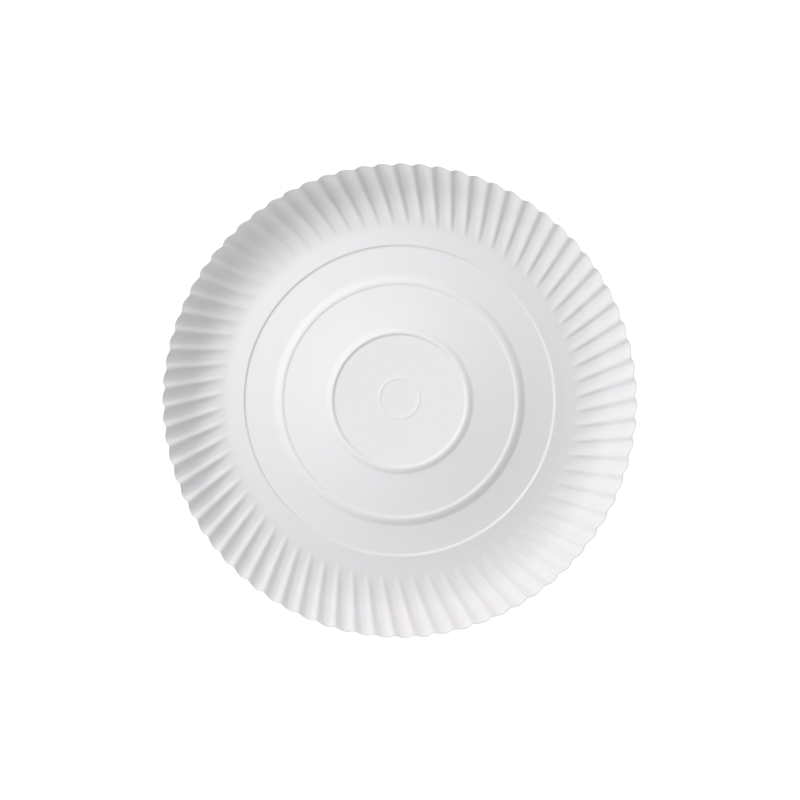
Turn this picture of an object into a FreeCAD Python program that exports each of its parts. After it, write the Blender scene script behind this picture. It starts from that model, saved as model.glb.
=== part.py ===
"""Paper plate, pressed from one round blank of white paperboard.

Millimetres, +Z up. The origin is the centre of the flat ring that the plate
stands on, so the table is z = 0 and the dish opens upwards.
"""

import FreeCAD, Part
import math
import os

# Board
plate_diameter = 230.0
board_thickness = 0.45

# Inner bead, round the level centre panel: a narrow rise, then a longer fall
inner_bead_radius = 33.1
inner_bead_inner_flank = 1.0
inner_bead_outer_flank = 2.9
inner_bead_rise = 0.4
inner_bead_fall = 0.9

# Outer bead, whose outer flank is the longer one
outer_bead_radius = 57.2
outer_bead_inner_flank = 1.0
outer_bead_outer_flank = 4.4
outer_bead_rise = 0.15
outer_bead_fall = 1.6

# Small step up near the edge of the base
step_radius = 75.2
step_width = 0.8
step_height = 0.35

# The base is crowned: each panel falls gently towards the standing ring (degrees)
inner_panel_slope = 6.0
outer_panel_slope = 7.5
border_slope = 7.0

# Flat ring that meets the table
standing_ring_radius = 84.4
standing_ring_width = 1.6

# Wall: a little outside the ring it bends up to its steepest angle, and from there
# it eases to a lower one at the rim (mm, degrees)
wall_foot_gap = 2.2
wall_bend_radius = 26.0
wall_steepest_angle = 42.0
wall_rim_angle = 34.0

# Flutes folded into the wall: the crest's height at the rim, the length over which
# a crest grows and how fast it does, and the lean of a flute from the radial line
# in degrees
flute_count = 75
flute_height = 1.6
flute_growth_length = 14.0
flute_growth_power = 2.5
flute_lean = 14.5

# Each crest is one sharp fold, and its flanks spread towards the rim, where the
# valley between two flutes narrows. A valley's width is a share of the pitch
valley_share_inside = 0.6
valley_share_at_rim = 0.36

# The trimmed edge is cut in a little at each crest
rim_scallop = 0.2

# Rings of the wall where the folds bend, from 0 at the standing ring to 1 at the rim
wall_rings = (0.0, 0.2, 0.55, 1.0)

# Largest gap that is closed where faces are sewn together
seam_tolerance = 0.001

ring_inside = standing_ring_radius - standing_ring_width / 2
flute_start_radius = standing_ring_radius + standing_ring_width / 2
steepest_slope = math.radians(wall_steepest_angle)
rim_slope = math.radians(wall_rim_angle)
steepest_radius = flute_start_radius + wall_foot_gap + wall_bend_radius * math.sin(steepest_slope)
rim_radius = plate_diameter / 2 - board_thickness * math.sin(rim_slope)
rim_bend_radius = (rim_radius - steepest_radius) / (math.sin(steepest_slope) - math.sin(rim_slope))
flute_pitch = 2 * math.pi / flute_count
UP = FreeCAD.Vector(0, 0, 1)
CENTRE = FreeCAD.Vector(0, 0, 0)


def fall(length, degrees):
    """Height lost over a length at a slope in degrees."""
    return length * math.tan(math.radians(degrees))


def base_profile():
    """Corners of the board's underside, from the standing ring in to the centre, as (radius, height)."""
    step_out = step_radius + step_width / 2
    step_in = step_radius - step_width / 2
    outer_bead_out = outer_bead_radius + outer_bead_outer_flank
    outer_bead_in = outer_bead_radius - outer_bead_inner_flank
    inner_bead_out = inner_bead_radius + inner_bead_outer_flank
    inner_bead_in = inner_bead_radius - inner_bead_inner_flank

    step_top = fall(ring_inside - step_out, border_slope)
    step_foot = step_top - step_height
    outer_bead_foot = step_foot + fall(step_in - outer_bead_out, outer_panel_slope)
    outer_bead_crest = outer_bead_foot + outer_bead_fall
    inner_panel_edge = outer_bead_crest - outer_bead_rise
    inner_bead_foot = inner_panel_edge + fall(outer_bead_in - inner_bead_out, inner_panel_slope)
    inner_bead_crest = inner_bead_foot + inner_bead_fall
    centre = inner_bead_crest - inner_bead_rise

    return [
        (ring_inside, 0.0),
        (step_out, step_top),
        (step_in, step_foot),
        (outer_bead_out, outer_bead_foot),
        (outer_bead_radius, outer_bead_crest),
        (outer_bead_in, inner_panel_edge),
        (inner_bead_out, inner_bead_foot),
        (inner_bead_radius, inner_bead_crest),
        (inner_bead_in, centre),
        (0.0, centre),
    ]


def base_faces(lift):
    """Faces of one side of the base, lifted from the underside's height."""
    corners = [FreeCAD.Vector(radius, 0, height + lift) for radius, height in base_profile()]
    return Part.makePolygon(corners).revolve(CENTRE, UP, 360).Faces


def wall_height_and_slope(radius):
    """Height of the wall's upper side in the valley of a flute, and its slope there, on two arcs."""
    run = max(min(radius, steepest_radius) - flute_start_radius - wall_foot_gap, 0.0)
    slope = math.asin(run / wall_bend_radius)
    height = board_thickness + wall_bend_radius * (1 - math.cos(slope))
    past = max(radius - steepest_radius, 0.0)
    if past:
        slope = math.asin(math.sin(steepest_slope) - past / rim_bend_radius)
        height += rim_bend_radius * (math.cos(slope) - math.cos(steepest_slope))
    return height, slope


def wall_point(pitches, along, raised, depth):
    """Point of the fluted wall.

    pitches counts flutes round the plate, along is 0 at the standing ring and 1
    at the rim, raised is 0 in a valley and 1 on a crest, and depth is how far the
    point lies under the upper side, square to the wall.
    """
    edge = rim_radius - rim_scallop * raised
    radius = flute_start_radius + (edge - flute_start_radius) * along
    height, slope = wall_height_and_slope(radius)

    grown = min((radius - flute_start_radius) / flute_growth_length, 1.0)
    crest_height = flute_height * (radius / rim_radius) * (1 - (1 - grown) ** flute_growth_power)
    lift = crest_height * raised - depth

    turn = pitches * flute_pitch + math.tan(math.radians(flute_lean)) * math.log(radius / rim_radius)
    out = radius - lift * math.sin(slope)
    return FreeCAD.Vector(out * math.cos(turn), out * math.sin(turn), height + lift * math.cos(slope))


def ring_points(along, depth, flutes):
    """Where the three folds of each flute cross one ring of the wall: flank's foot, crest, other foot."""
    valley = valley_share_inside + (valley_share_at_rim - valley_share_inside) * along
    folds = ((-0.5 + valley / 2, 0), (0, 1), (0.5 - valley / 2, 0))
    return [wall_point(i + place, along, raised, depth) for i in range(flutes) for place, raised in folds]


def fluted_wall():
    """Faces of the wall's two sides and its cut edge: one flute, lofted from ring to ring, and its copies."""
    sections = [(along, 0.0) for along in wall_rings]
    sections += [(along, board_thickness) for along in reversed(wall_rings)]
    lines = []
    for along, depth in sections:
        one_flute = ring_points(along, depth, 1)
        next_flute = ring_points(along, depth, 2)[len(one_flute) :]
        lines.append(Part.makePolygon(one_flute + next_flute[:1]))
    flute = Part.makeLoft(lines, False, True)

    faces = []
    for i in range(flute_count):
        copy = flute.copy()
        copy.rotate(CENTRE, UP, i * 360 / flute_count)
        faces += copy.Faces
    return faces


def standing_ring(depth):
    """Flat ring between the base and the wall, at a depth under the upper side."""
    corners = ring_points(0.0, depth, flute_count)
    outer = Part.makePolygon(corners + corners[:1])
    inner = Part.Wire(Part.makeCircle(ring_inside, FreeCAD.Vector(0, 0, board_thickness - depth), UP))
    return Part.Face([outer, inner])


def plate():
    faces = fluted_wall()
    for depth in (0.0, board_thickness):
        faces.append(standing_ring(depth))
        faces += base_faces(board_thickness - depth)
    shell = Part.makeShell(faces)
    shell.sewShape(seam_tolerance)
    solid = Part.makeSolid(shell)
    if solid.Volume < 0:
        solid.reverse()
    return solid


os.makedirs("parts", exist_ok=True)
plate().exportStep("parts/plate.step")
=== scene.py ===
"""Paper plate, dressed: one sheet of pressed paperboard, seen from straight above.

Shapes are given in millimetres and put into the meshes in metres, in the frame
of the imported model: +Z up, the origin under the middle of the plate on the table.
"""

import math

import bpy
import numpy as np
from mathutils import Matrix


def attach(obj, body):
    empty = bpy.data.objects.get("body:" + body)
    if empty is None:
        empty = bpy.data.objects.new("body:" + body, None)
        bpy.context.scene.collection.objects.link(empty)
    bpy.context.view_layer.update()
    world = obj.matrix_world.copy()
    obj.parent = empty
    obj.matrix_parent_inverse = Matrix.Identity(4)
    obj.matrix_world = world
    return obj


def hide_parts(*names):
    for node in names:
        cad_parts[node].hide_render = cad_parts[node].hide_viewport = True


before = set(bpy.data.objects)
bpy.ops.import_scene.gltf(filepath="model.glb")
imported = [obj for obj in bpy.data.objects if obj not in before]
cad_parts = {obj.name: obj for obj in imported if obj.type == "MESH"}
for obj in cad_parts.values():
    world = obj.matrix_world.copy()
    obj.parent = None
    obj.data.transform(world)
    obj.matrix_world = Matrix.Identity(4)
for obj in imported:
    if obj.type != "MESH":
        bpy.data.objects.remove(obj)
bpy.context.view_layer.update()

MM = 0.001
WHITE = (1.0, 1.0, 1.0, 1.0)

# Board, and how far its surface stays inside the solid's outline
plate_diameter = 230.0
board_thickness = 0.45
outline_margin = 0.03

# Section of the base, close to the solid's: the beads and the step are fitted a little
# nearer to the real ones (mm, degrees)
inner_bead_radius = 32.6
inner_bead_inner_flank = 1.0
inner_bead_outer_flank = 3.0
inner_bead_rise = 0.4
inner_bead_fall = 0.76
outer_bead_radius = 57.0
outer_bead_inner_flank = 1.0
outer_bead_outer_flank = 3.6
outer_bead_rise = 0.15
outer_bead_fall = 1.5
step_radius = 75.3
step_width = 0.8
step_height = 0.35
inner_panel_slope = 6.0
outer_panel_slope = 7.5
border_slope = 7.0
standing_ring_radius = 84.4
standing_ring_width = 1.6

# A bead's outer flank steepens towards its foot: it drops with this power of the way
# across, at this many points
flank_power = 2.0
flank_points = 6

# The press rounds the corners of the section over this length. The beads' outer flanks
# are rounded over longer ones, which hold a little past the flank and then ease back
corner_rounding = 0.6
inner_bead_rounding = 1.2
outer_bead_rounding = 1.6
rounding_held = 1.0
rounding_eased = 2.5

# Plain ring pressed into the board near the middle, and how far it lies off centre along Y
centre_ring_radius = 9.7
centre_ring_width = 0.8
centre_ring_height = 0.3
centre_ring_offset = 1.0

# Wall: a little outside the standing ring it bends up to its steepest angle, and from
# there it eases to a lower one at the rim (mm, degrees)
wall_foot_gap = 2.2
wall_bend_radius = 26.0
wall_steepest_angle = 42.0
wall_rim_angle = 34.0

# Flutes: the crest's height at the rim, the length over which a crest grows and how
# fast, and in degrees the lean from the radial line and the drift round the plate,
# which is most at one azimuth
flute_count = 75
flute_height = 1.6
flute_growth_length = 14.0
flute_growth_power = 2.5
flute_lean = 14.5
flute_drift = 0.85
flute_drift_azimuth = 25.0

# Crests: how sharp they are at their inner end and at the rim, how far they are skewed
# to one side, and how deep the trimmed edge is cut in at each
crest_sharpness_inside = 3.0
crest_sharpness_at_rim = 1.8
crest_skew = 0.3
rim_scallop = 0.2

# Grid of the surface: columns of the base, columns of the wall for each of the base's,
# and the rows of both. The base's first row comes after this share of its rows' weight,
# the wall has one more row this share of it short of the rim, and the cut edge has a
# row this far from either side
base_columns = 210
wall_columns_per_base = 5
base_rows = 72
wall_rows = 26
first_row_share = 0.02
rim_row_gap = 0.004
edge_inset = 0.06

# How close the base's rows lie: a plain weight everywhere, a greater one over circles of
# detail, given as radius and reach, and one at the inner edge of the standing ring
plain_row_weight = 0.3
detail_row_weight = 2.2
detail_circles = (
    (centre_ring_radius, 1.9),
    (inner_bead_radius + 1.0, 3.6),
    (outer_bead_radius + 1.3, 4.0),
    (step_radius, 2.0),
)
ring_row_weight = 1.2
ring_row_reach = 2.0

# Numbers of radii at which the section, the rows' weight and the relief are added up.
# The section is carried on this far past both of its ends
section_samples = 9001
section_overrun = 5.0
row_samples = 4001
relief_samples = 4601

# Faces that meet at more than this angle have a sharp edge between them (degrees)
sharp_edge_angle = 50

# Board's finish: two whites, roughness and gloss, three noise patterns, each as its
# scale per metre, detail and roughness, and the depth of the grain
cool_white = (0.878, 0.865, 0.888, 1.0)
warm_white = (0.888, 0.870, 0.878, 1.0)
board_roughness = 0.82
board_gloss = 0.25
patch_noise = (28.0, 3.0, 0.6)
fibre_noise = (1400.0, 4.0, 0.65)
fleck_noise = (420.0, 5.0, 0.7)
grain_depth = 0.01

# Painted shade and light in the board's colour from the centre out, darker over the outer panels and at the
# wall's foot where shade falls and lighter up the wall: start, end and the share gained
painted_shade_and_light_steps = (
    (38.0, 54.0, -0.02),
    (58.0, 64.0, -0.03),
    (72.0, 78.0, -0.015),
    (82.0, 89.0, -0.042),
    (96.0, 105.0, 0.04),
    (106.0, 115.0, 0.03),
)

# Circles of painted light and painted shade beside the beads, paler or greyer: radius, reach on either side
# and the share gained
painted_shade_and_light_circles = (
    (34.0, 2.0, 0.03),
    (56.3, 0.8, -0.02),
    (59.4, 2.2, 0.045),
)

# Relief that the board's shading adds: over the base it is the form's own slope times a
# gain that eases off on steep flanks, and from the step out it falls on by a share of
# this slope in degrees
pressing_gain = 2.1
pressing_easing = 3.5
foot_relief_slope = 11.5

# Lamps: a broad one straight above, one from the upper left and one at either side of
# it, and a dim white room (tilt from straight above, spread, azimuth and swing in degrees)
room_power = 0.27
overhead_power = 0.858
overhead_spread = 60
window_power = 1.32
window_spread = 24
window_tilt = 52
window_azimuth = 143
side_power = 0.44
side_spread = 30
side_tilt = 65
side_swing = 75

# Floor: half its width in metres, its grey, and the glow that makes it white to the camera
floor_reach = 6.0
floor_grey = 0.85
floor_glow = 0.6

# Camera, in metres and degrees, with its sensor in millimetres. Its lens shows the rim,
# which lies at this height, with this radius in a frame of this width in pixels
camera_height = 3.0
camera_offset = (0.00024, 0.00018)
camera_turn = -0.236
sensor_width = 36.0
rim_height = 0.0155
rim_in_pixels = 237.5
frame_in_pixels = 800

ring_inside = standing_ring_radius - standing_ring_width / 2
flute_start = standing_ring_radius + standing_ring_width / 2
steepest_slope = math.radians(wall_steepest_angle)
rim_slope = math.radians(wall_rim_angle)
steepest_radius = flute_start + wall_foot_gap + wall_bend_radius * math.sin(steepest_slope)
rim_radius = plate_diameter / 2 - board_thickness * math.sin(rim_slope) - outline_margin
rim_bend_radius = (rim_radius - steepest_radius) / (math.sin(steepest_slope) - math.sin(rim_slope))
wall_columns = base_columns * wall_columns_per_base

# Share of the foot's relief by radius: small over the border, most at the standing
# ring's inner edge, whole over the wall's foot, none higher up
foot_relief_shares = (
    (step_radius, 0.0),
    (step_radius + 1.0, 0.3),
    (79.5, 0.3),
    (ring_inside - corner_rounding / 2, 0.05),
    (ring_inside + corner_rounding / 2, 1.45),
    (88.0, 1.0),
    (94.0, 1.0),
    (106.0, 0.0),
)


def fall(length, degrees):
    """Height lost over a length at a slope in degrees."""
    return length * math.tan(math.radians(degrees))


def running_total(values, places):
    """Area under the values from the first place up to each one, as a chain of trapeziums."""
    return np.concatenate([[0.0], np.cumsum((values[1:] + values[:-1]) / 2 * np.diff(places))])


def cornered_section():
    """Corners of the base's upper side from the centre to the wall, as arrays of radius and height.

    The heights are added up inwards from the standing ring.
    """
    step_out = step_radius + step_width / 2
    step_in = step_radius - step_width / 2
    outer_bead_out = outer_bead_radius + outer_bead_outer_flank
    outer_bead_in = outer_bead_radius - outer_bead_inner_flank
    inner_bead_out = inner_bead_radius + inner_bead_outer_flank
    inner_bead_in = inner_bead_radius - inner_bead_inner_flank

    step_top = board_thickness + fall(ring_inside - step_out, border_slope)
    step_foot = step_top - step_height
    outer_bead_foot = step_foot + fall(step_in - outer_bead_out, outer_panel_slope)
    outer_bead_crest = outer_bead_foot + outer_bead_fall
    inner_panel_edge = outer_bead_crest - outer_bead_rise
    inner_bead_foot = inner_panel_edge + fall(outer_bead_in - inner_bead_out, inner_panel_slope)
    inner_bead_crest = inner_bead_foot + inner_bead_fall
    centre = inner_bead_crest - inner_bead_rise

    across = np.linspace(0.0, 1.0, flank_points)
    dropped = across**flank_power
    radius = [0.0, inner_bead_in, *(inner_bead_radius + inner_bead_outer_flank * across)]
    radius += [outer_bead_in, *(outer_bead_radius + outer_bead_outer_flank * across)]
    radius += [step_in, step_out, ring_inside, flute_start]
    height = [centre, centre, *(inner_bead_crest - inner_bead_fall * dropped)]
    height += [inner_panel_edge, *(outer_bead_crest - outer_bead_fall * dropped)]
    height += [step_foot, step_top, board_thickness, board_thickness]
    return np.array(radius), np.array(height)


def rounding_length(radius):
    """Length over which the press rounds the section: the corners' own, and longer on the beads' flanks."""
    beads = (
        (inner_bead_radius, inner_bead_outer_flank, inner_bead_rounding),
        (outer_bead_radius, outer_bead_outer_flank, outer_bead_rounding),
    )
    rounding = np.full_like(radius, corner_rounding)
    for crest, flank, length in beads:
        foot = crest + flank
        stops = (crest, crest + length / 2, foot + rounding_held, foot + rounding_eased)
        rounding += np.interp(radius, stops, (0.0, 1.0, 1.0, 0.0)) * (length - corner_rounding)
    return rounding


def base_height(radius):
    """Height of the base's upper side: the cornered section averaged over the rounding's length.

    The average at a radius is the difference of the section's running total at
    the two ends of that length, divided by the length.
    """
    fine = np.linspace(-section_overrun, flute_start + section_overrun, section_samples)
    total = running_total(np.interp(np.abs(fine), *cornered_section()), fine)
    rounding = rounding_length(radius)
    half = rounding / 2
    return (np.interp(radius + half, fine, total) - np.interp(radius - half, fine, total)) / rounding


def wall_height_and_slope(radius):
    """Height of the wall's upper side in a valley, and its slope there, on two arcs.

    Along an arc the slope's sine changes by the run over the arc's radius, and the
    height by that radius times the change of the slope's cosine.
    """
    run = np.maximum(np.minimum(radius, steepest_radius) - flute_start - wall_foot_gap, 0.0)
    foot_slope = np.arcsin(run / wall_bend_radius)
    past = np.maximum(radius - steepest_radius, 0.0)
    easing_slope = np.arcsin(math.sin(steepest_slope) - past / rim_bend_radius)
    height = board_thickness + wall_bend_radius * (1 - np.cos(foot_slope))
    height += rim_bend_radius * (np.cos(easing_slope) - math.cos(steepest_slope))
    return height, np.where(past > 0, easing_slope, foot_slope)


def turned(radius, pitches):
    """Angle of a flute's line at a radius: a spiral that keeps one lean from the radial line.

    It turns by the lean's tangent times the logarithm of the radius. The flutes are a
    little unevenly spread: they drift one way and back, by a cosine, once round.
    """
    lean = math.tan(math.radians(flute_lean))
    even = pitches * 2 * math.pi / flute_count
    drift = math.radians(flute_drift) * np.cos(even - math.radians(flute_drift_azimuth))
    return even + drift + lean * np.log(radius / rim_radius)


def wall_points(along, depth):
    """Points of the fluted wall, rows by columns, at a depth under the upper side.

    A crest is a raised cosine to a power, ((1 + cos) / 2) ** sharpness, so it is
    narrow inside and rounder at the rim. Its phase is drawn back by the skew times
    (1 - cos), which makes one flank steeper. Its height grows as 1 - (1 - x) ** power
    over the growth length and in step with the radius beyond. It stands square to
    the wall, and so does the board's thickness.
    """
    pitches = np.arange(wall_columns)[None, :] * flute_count / wall_columns
    along = along[:, None]
    sharpness = crest_sharpness_inside + (crest_sharpness_at_rim - crest_sharpness_inside) * along
    phase = 2 * np.pi * pitches
    raised = ((1 + np.cos(phase - crest_skew * (1 - np.cos(phase)))) / 2) ** sharpness
    edge = rim_radius - rim_scallop * raised
    radius = flute_start + (edge - flute_start) * along
    height, slope = wall_height_and_slope(radius)
    grown = np.clip((radius - flute_start) / flute_growth_length, 0.0, 1.0)
    crest = flute_height * (radius / rim_radius) * (1 - (1 - grown) ** flute_growth_power)
    lift = crest * raised - depth
    out = radius - lift * np.sin(slope)
    turn = turned(radius, pitches)
    return np.stack([out * np.cos(turn), out * np.sin(turn), height + lift * np.cos(slope)], axis=-1)


def base_row_radii():
    """Radii of the base's rows: each row has an equal part of the weight, so they crowd over the detail.

    A circle of detail weighs exp(-d ** 4) and the standing ring's edge exp(-d ** 2),
    where d is the distance from it as a share of its reach.
    """
    fine = np.linspace(0.0, ring_inside, row_samples)
    weight = np.full_like(fine, plain_row_weight)
    for middle, reach in detail_circles:
        weight += detail_row_weight * np.exp(-(((fine - middle) / reach) ** 4))
    weight += ring_row_weight * np.exp(-(((fine - ring_inside) / ring_row_reach) ** 2))
    total = running_total(weight, fine)
    return np.interp(np.linspace(first_row_share, 1.0, base_rows), total / total[-1], fine)


def base_points(depth):
    """Points of one side of the base, rows by columns, from just off the centre to the standing ring.

    The centre ring is a bell-shaped bump, exp(-d * d), where d is the distance from
    its circle as a share of half its width.
    """
    radius = base_row_radii()[:, None]
    turn = turned(flute_start, np.arange(base_columns) * flute_count / base_columns)[None, :]
    x = radius * np.cos(turn)
    y = radius * np.sin(turn)
    distance = (np.hypot(x, y - centre_ring_offset) - centre_ring_radius) / (centre_ring_width / 2)
    height = base_height(radius) + centre_ring_height * np.exp(-distance * distance) - depth
    return np.stack([x, y, height], axis=-1)


def band(rows):
    """Four-cornered faces between each row of vertex numbers and the next, closed round the circle."""
    near = rows[:-1]
    far = rows[1:]
    corners = np.stack([near, far, np.roll(far, -1, axis=1), np.roll(near, -1, axis=1)], axis=-1)
    return corners.reshape(-1, 4).tolist()


def fan(centre, row):
    """Triangles from the vertex in the centre to a row of vertex numbers, closed round the circle."""
    return np.stack([np.full_like(row, centre), row, np.roll(row, -1)], axis=-1).tolist()


def ring_faces(base_row, wall_row):
    """Flat faces between the base's last row and the wall's.

    The wall has several columns for each of the base's, so a face has more corners
    on that side: its own columns' and the next one's first.
    """
    own = wall_row.reshape(base_columns, wall_columns_per_base)
    following = np.roll(own, -1, axis=0)[:, :1]
    return np.concatenate([base_row[:, None], own, following, np.roll(base_row, -1)[:, None]], axis=1)


def plate_surface():
    """Closed surface of the plate: upper base, wall, under base and the vertices in its two centres.

    The wall is one grid of rows by columns: up its upper side, over the cut edge and
    down its underside.
    """
    along = np.concatenate([np.linspace(0.0, 1.0, wall_rows)[:-1], [1.0 - rim_row_gap, 1.0]])
    edge = [wall_points(along[-1:], depth) for depth in (edge_inset, board_thickness - edge_inset)]
    wall = np.concatenate([wall_points(along, 0.0), *edge, wall_points(along, board_thickness)[::-1]])
    sides = (base_points(0.0), base_points(board_thickness))
    centres = np.array([[0.0, 0.0, side[0, 0, 2]] for side in sides])
    grids = [grid.reshape(-1, 3) for grid in (sides[0], wall, sides[1])]
    vertices = np.concatenate([*grids, centres])

    base_count, wall_count, under_count = (len(grid) for grid in grids)
    upper = np.arange(base_count).reshape(-1, base_columns)
    middle = base_count + np.arange(wall_count).reshape(-1, wall_columns)
    under = base_count + wall_count + np.arange(under_count).reshape(-1, base_columns)
    top_centre = base_count + wall_count + under_count
    faces = fan(top_centre, upper[0]) + band(upper)
    faces += ring_faces(upper[-1], middle[0]).tolist()
    faces += band(middle)
    faces += ring_faces(under[-1], middle[-1])[:, ::-1].tolist()
    faces += band(under[::-1]) + fan(top_centre + 1, under[0][::-1])
    return vertices, faces


def add_piece(name, vertices, faces):
    """Object at the origin from points in millimetres, smooth but for its cut edge."""
    mesh = bpy.data.meshes.new(name)
    mesh.from_pydata((vertices * MM).tolist(), [], faces)
    mesh.validate()
    mesh.shade_smooth()
    mesh.set_sharp_from_angle(angle=math.radians(sharp_edge_angle))
    piece = bpy.data.objects.new(name, mesh)
    bpy.context.collection.objects.link(piece)
    return piece


def add_pressing(piece):
    """Attribute for the relief by radius, in metres: the base's own, then a fall that fades up the wall."""
    places = np.empty(len(piece.data.vertices) * 3)
    piece.data.vertices.foreach_get("co", places)
    radius = np.hypot(places[0::3], places[1::3]) / MM

    fine = np.linspace(0.0, plate_diameter / 2, relief_samples)
    own_slope = np.gradient(base_height(np.minimum(fine, flute_start)), fine)
    slope = own_slope * pressing_gain / (1 + pressing_easing * np.abs(own_slope))
    stops, shares = zip(*foot_relief_shares)
    slope -= np.interp(fine, stops, shares) * fall(1.0, foot_relief_slope)
    height = np.interp(radius, fine, running_total(slope, fine)) * MM
    piece.data.attributes.new("pressing", "FLOAT", "POINT").data.foreach_set("value", height)


class Wire:
    """An output socket in a node tree. Arithmetic on it adds Math nodes.

    The first wire of a tree has no socket: it only makes nodes.
    """

    def __init__(self, tree, socket=None):
        self.tree = tree
        self.socket = socket

    def node(self, kind, settings=None, inputs=None, output=0):
        """Output of a new node, whose settings come first and then the values or links of its sockets."""
        made = self.tree.nodes.new(kind)
        for name, value in (settings or {}).items():
            setattr(made, name, value)
        for name, value in (inputs or {}).items():
            if isinstance(value, Wire):
                self.tree.links.new(value.socket, made.inputs[name])
            else:
                made.inputs[name].default_value = value
        return Wire(self.tree, made.outputs[output] if made.outputs else None)

    def maths(self, operation, first, second):
        return self.node("ShaderNodeMath", {"operation": operation}, {0: first, 1: second})

    def __add__(self, other):
        return self.maths("ADD", self, other)

    def __sub__(self, other):
        return self.maths("SUBTRACT", self, other)

    def __rsub__(self, other):
        return self.maths("SUBTRACT", other, self)

    def __mul__(self, other):
        return self.maths("MULTIPLY", self, other)

    __radd__ = __add__
    __rmul__ = __mul__


def new_material(name):
    """Material with an empty node tree, and the wire that its nodes are made from."""
    material = bpy.data.materials.new(name)
    material.use_nodes = True
    material.node_tree.nodes.clear()
    return material, Wire(material.node_tree)


def eased(tree, value, start, end, first, last):
    """A value that goes smoothly from the first level to the last between two places."""
    stops = {"Value": value, "From Min": start, "From Max": end, "To Min": first, "To Max": last}
    return tree.node("ShaderNodeMapRange", {"interpolation_type": "SMOOTHSTEP"}, stops)


def noise(tree, place, scale, detail, roughness):
    """Value of a noise pattern over the board."""
    inputs = {"Vector": place, "Scale": scale, "Detail": detail, "Roughness": roughness}
    return tree.node("ShaderNodeTexNoise", {}, inputs)


def painted_shade_by_radius(tree, place):
    """Painted shade and light by radius: the board's colour is made darker or lighter from panel to panel
    and beside the beads, where the shading falls.
    """
    flat = tree.node("ShaderNodeVectorMath", {"operation": "MULTIPLY"}, {0: place, 1: (1.0, 1.0, 0.0)})
    radius = tree.node("ShaderNodeVectorMath", {"operation": "LENGTH"}, {0: flat}, output="Value")
    painted_level = 1.0
    for start, end, change in painted_shade_and_light_steps:
        painted_level = painted_level + eased(tree, radius, start * MM, end * MM, 0.0, change)
    for middle, reach, change in painted_shade_and_light_circles:
        distance = tree.node("ShaderNodeMath", {"operation": "ABSOLUTE"}, {0: radius - middle * MM})
        painted_level = painted_level + eased(tree, distance, 0.0, reach * MM, change, 0.0)
    return painted_level


def paperboard():
    """Matte white board: faint patches of tone, painted shade and light in steps and circles by radius, the
    press's relief and a fine fibre grain.
    """
    material, tree = new_material("paperboard")
    place = tree.node("ShaderNodeTexCoord", output="Object")
    patches = noise(tree, place, *patch_noise)
    whites = {"Factor": patches, "A": cool_white, "B": warm_white}
    colour = tree.node("ShaderNodeMix", {"data_type": "RGBA"}, whites, output="Result")
    # The colour is scaled by painted shade and painted light that follow the radius
    painted_inputs = {0: colour, "Scale": painted_shade_by_radius(tree, place)}
    colour = tree.node("ShaderNodeVectorMath", {"operation": "SCALE"}, painted_inputs)

    pressing = tree.node("ShaderNodeAttribute", {"attribute_name": "pressing"}, output="Fac")
    grain = noise(tree, place, *fibre_noise) + noise(tree, place, *fleck_noise)
    height = pressing + grain * (grain_depth * MM)
    relief = tree.node("ShaderNodeBump", {}, {"Height": height, "Strength": 1.0, "Distance": 1.0})

    finish = {"Roughness": board_roughness, "Specular IOR Level": board_gloss, "Normal": relief}
    paper = tree.node("ShaderNodeBsdfPrincipled", {}, {"Base Color": colour, **finish})
    tree.node("ShaderNodeOutputMaterial", {}, {"Surface": paper})
    return material


def pale_floor():
    """Floor that the camera sees as white, darker where the plate shades it."""
    material, tree = new_material("pale_floor")
    seen = tree.node("ShaderNodeLightPath", output="Is Camera Ray")
    plain = tree.node("ShaderNodeBsdfDiffuse", {}, {"Color": (floor_grey, floor_grey, floor_grey, 1.0)})
    glow = tree.node("ShaderNodeEmission", {}, {"Color": WHITE, "Strength": floor_glow})
    both = tree.node("ShaderNodeAddShader", {}, {0: plain, 1: glow})
    surface = tree.node("ShaderNodeMixShader", {}, {0: seen, 1: plain, 2: both})
    tree.node("ShaderNodeOutputMaterial", {}, {"Surface": surface})
    return material


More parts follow.
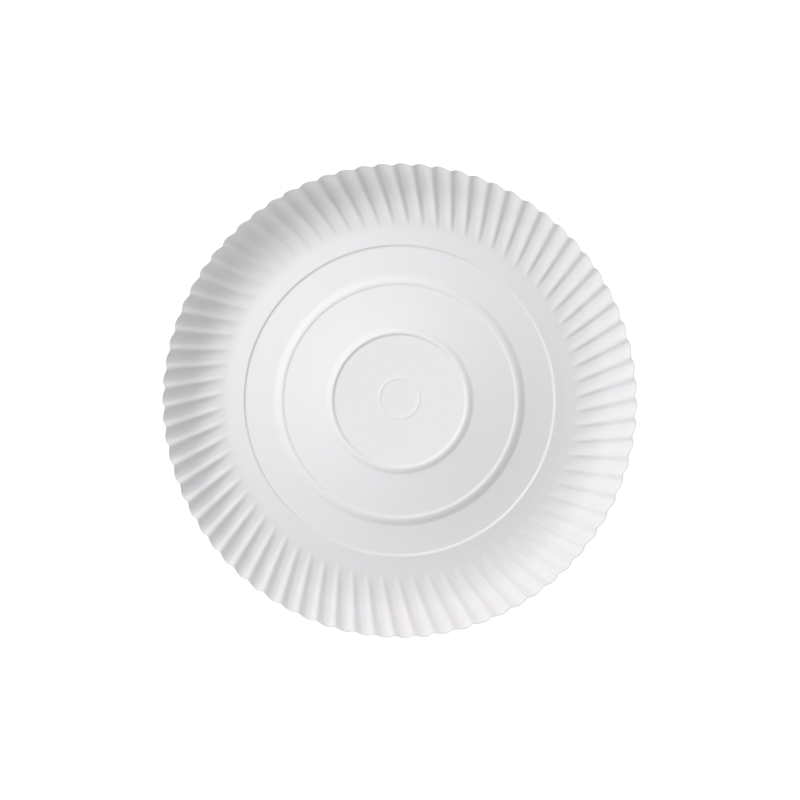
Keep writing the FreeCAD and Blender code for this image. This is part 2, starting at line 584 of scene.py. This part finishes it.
def add_floor():
    """Large level square at the table's height."""
    mesh = bpy.data.meshes.new("floor")
    signs = ((-1, -1), (1, -1), (1, 1), (-1, 1))
    mesh.from_pydata([(x * floor_reach, y * floor_reach, 0.0) for x, y in signs], [], [(0, 1, 2, 3)])
    mesh.materials.append(pale_floor())
    floor = bpy.data.objects.new("floor", mesh)
    bpy.context.collection.objects.link(floor)


def add_camera():
    """Long lens straight above the plate, turned by the angle at which the flutes lie."""
    camera = bpy.data.cameras.new("camera")
    camera.sensor_width = sensor_width
    rim = (plate_diameter - rim_scallop) / 2 * MM
    camera.lens = rim_in_pixels / frame_in_pixels * sensor_width * (camera_height - rim_height) / rim
    seat = bpy.data.objects.new("camera", camera)
    seat.location = (*camera_offset, camera_height)
    seat.rotation_euler = (0.0, 0.0, math.radians(camera_turn))
    bpy.context.collection.objects.link(seat)
    bpy.context.scene.camera = seat


def add_lamps():
    """Distant lamps, each turned to its azimuth and tilted from straight above."""
    lamps = (
        ("overhead", overhead_power, overhead_spread, 0, 0),
        ("window", window_power, window_spread, window_tilt, window_azimuth),
        ("window_end", side_power, side_spread, side_tilt, window_azimuth - side_swing),
        ("window_start", side_power, side_spread, side_tilt, window_azimuth + side_swing),
    )
    for name, power, spread, tilt, azimuth in lamps:
        lamp = bpy.data.lights.new(name, "SUN")
        lamp.energy = power
        lamp.angle = math.radians(spread)
        seat = bpy.data.objects.new(name, lamp)
        seat.rotation_euler = (math.radians(tilt), 0.0, math.radians(azimuth + 90))
        bpy.context.collection.objects.link(seat)


def add_room():
    """Room that is dim to the plate and plain white to the camera."""
    world = bpy.data.worlds.new("room")
    bpy.context.scene.world = world
    world.use_nodes = True
    world.node_tree.nodes.clear()
    tree = Wire(world.node_tree)
    seen = tree.node("ShaderNodeLightPath", output="Is Camera Ray")
    strength = room_power + seen * (1.0 - room_power)
    backdrop = tree.node("ShaderNodeBackground", {}, {"Color": WHITE, "Strength": strength})
    tree.node("ShaderNodeOutputWorld", {}, {"Surface": backdrop})


plate = add_piece("pressed_plate", *plate_surface())
add_pressing(plate)
plate.data.materials.append(paperboard())
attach(plate, "root")
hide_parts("plate")

add_floor()
add_camera()
add_lamps()
add_room()

bpy.context.scene.view_settings.view_transform = "Standard"
